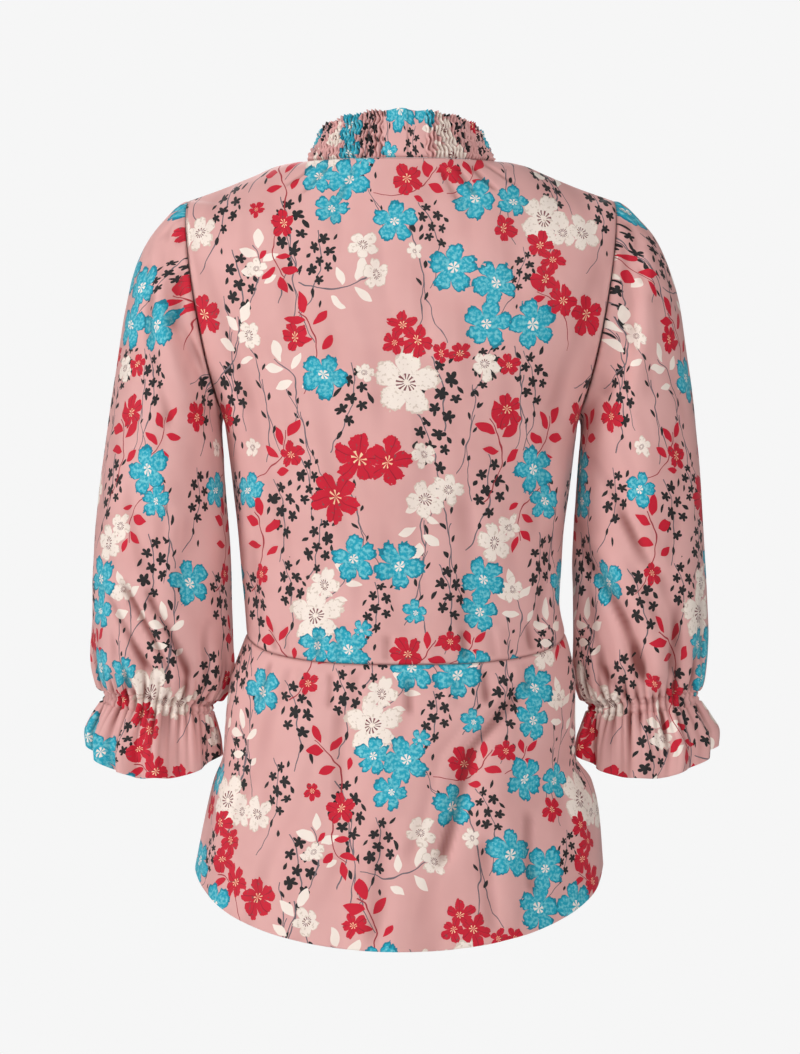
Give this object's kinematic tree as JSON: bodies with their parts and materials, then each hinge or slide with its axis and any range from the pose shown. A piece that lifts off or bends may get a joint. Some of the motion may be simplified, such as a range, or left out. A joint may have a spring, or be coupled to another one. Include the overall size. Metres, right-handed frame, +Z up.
{
  "type": "floral blouse with a smocked stand collar",
  "caption": "Worn-form floral blouse with a smocked stand collar, full three-quarter sleeves ending in an elastic and a frill, and a flared peplum with a rounded hem.",
  "frame": {"origin": "on the middle plane at the height of the neck seam, between the tops of the shoulders", "axes": "+Z up the body, +Y out of the back of the blouse, +X to the wearer's left"},
  "size_m": [0.5456, 0.2356, 0.7107],
  "materials": {
    "back_bodice_cloth": "printed dusty pink crepe, matt",
    "front_bodice_cloth": "printed dusty pink crepe, matt",
    "back_peplum_cloth": "printed dusty pink crepe, matt",
    "front_peplum_cloth": "printed dusty pink crepe, matt",
    "collar_cloth": "printed dusty pink crepe, matt",
    "left_sleeve_cloth": "printed dusty pink crepe, matt",
    "right_sleeve_cloth": "printed dusty pink crepe, matt"
  },
  "bodies": {
    "root": {"back_bodice": "back_bodice_cloth", "front_bodice": "front_bodice_cloth", "back_peplum": "back_peplum_cloth", "front_peplum": "front_peplum_cloth", "collar": "collar_cloth", "left_sleeve": "left_sleeve_cloth", "right_sleeve": "right_sleeve_cloth"}
  },
  "joints": []
}
